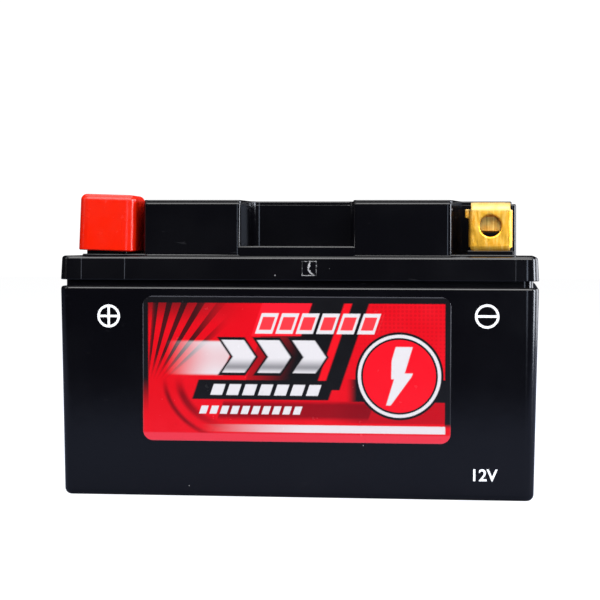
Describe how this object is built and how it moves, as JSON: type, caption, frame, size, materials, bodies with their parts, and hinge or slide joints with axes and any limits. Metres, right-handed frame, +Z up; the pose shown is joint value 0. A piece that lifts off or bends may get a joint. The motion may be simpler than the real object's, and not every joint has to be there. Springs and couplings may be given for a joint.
{
  "type": "motorcycle battery",
  "caption": "Sealed box-shaped motorcycle battery with a stepped lid, folded brass corner terminals and a red push-on terminal cap; cells, plates and vent valves inside.",
  "frame": {"origin": "centre of the base, where the battery stands in its tray", "axes": "+X along the front, from the positive to the negative terminal; +Y from the front to the back; +Z up"},
  "size_m": [0.15, 0.087, 0.095],
  "materials": {
    "black_plastic": "moulded, satin gloss",
    "red_plastic": "moulded, satin gloss",
    "brass": "bright, pressed",
    "lead": "cast lead, dull grey",
    "positive_plate": "pasted lead dioxide, dark brown",
    "negative_plate": "pasted sponge lead, grey",
    "glass_mat": "absorbent glass fibre",
    "black_rubber": "matt",
    "label_film": "printed film, gloss"
  },
  "bodies": {
    "battery": {"container": "black_plastic", "lid": "black_plastic", "top_cover": "black_plastic", "positive_nut_seat": "black_plastic", "negative_nut_seat": "black_plastic", "positive_terminal": "brass", "negative_terminal": "brass", "positive_terminal_nut": "brass", "negative_terminal_nut": "brass", "positive_post": "lead", "negative_post": "lead", "cell_link_1": "lead", "cell_link_2": "lead", "cell_link_3": "lead", "cell_link_4": "lead", "cell_link_5": "lead", "cell_1_positive_plates": "positive_plate", "cell_2_positive_plates": "positive_plate", "cell_3_positive_plates": "positive_plate", "cell_4_positive_plates": "positive_plate", "cell_5_positive_plates": "positive_plate", "cell_6_positive_plates": "positive_plate", "cell_1_negative_plates": "negative_plate", "cell_2_negative_plates": "negative_plate", "cell_3_negative_plates": "negative_plate", "cell_4_negative_plates": "negative_plate", "cell_5_negative_plates": "negative_plate", "cell_6_negative_plates": "negative_plate", "cell_1_separator": "glass_mat", "cell_2_separator": "glass_mat", "cell_3_separator": "glass_mat", "cell_4_separator": "glass_mat", "cell_5_separator": "glass_mat", "cell_6_separator": "glass_mat", "positive_post_seal": "black_rubber", "negative_post_seal": "black_rubber", "front_label": "label_film"},
    "terminal_cap": {"positive_terminal_cap": "red_plastic"},
    "valve_1": {"vent_valve_1": "black_rubber"},
    "valve_2": {"vent_valve_2": "black_rubber"},
    "valve_3": {"vent_valve_3": "black_rubber"},
    "valve_4": {"vent_valve_4": "black_rubber"},
    "valve_5": {"vent_valve_5": "black_rubber"},
    "valve_6": {"vent_valve_6": "black_rubber"}
  },
  "joints": [
    {"name": "cap_lift", "type": "slide", "parent": "battery", "child": "terminal_cap", "axis": [0, 0, 1], "range_m": [0, 0.03]},
    {"name": "valve_1_lift", "type": "slide", "parent": "battery", "child": "valve_1", "axis": [0, 0, 1], "range_m": [0, 0.0008], "stiffness_N_per_m": 60, "springref_m": -0.0005},
    {"name": "valve_2_lift", "type": "slide", "parent": "battery", "child": "valve_2", "axis": [0, 0, 1], "range_m": [0, 0.0008], "stiffness_N_per_m": 60, "springref_m": -0.0005},
    {"name": "valve_3_lift", "type": "slide", "parent": "battery", "child": "valve_3", "axis": [0, 0, 1], "range_m": [0, 0.0008], "stiffness_N_per_m": 60, "springref_m": -0.0005},
    {"name": "valve_4_lift", "type": "slide", "parent": "battery", "child": "valve_4", "axis": [0, 0, 1], "range_m": [0, 0.0008], "stiffness_N_per_m": 60, "springref_m": -0.0005},
    {"name": "valve_5_lift", "type": "slide", "parent": "battery", "child": "valve_5", "axis": [0, 0, 1], "range_m": [0, 0.0008], "stiffness_N_per_m": 60, "springref_m": -0.0005},
    {"name": "valve_6_lift", "type": "slide", "parent": "battery", "child": "valve_6", "axis": [0, 0, 1], "range_m": [0, 0.0008], "stiffness_N_per_m": 60, "springref_m": -0.0005}
  ]
}
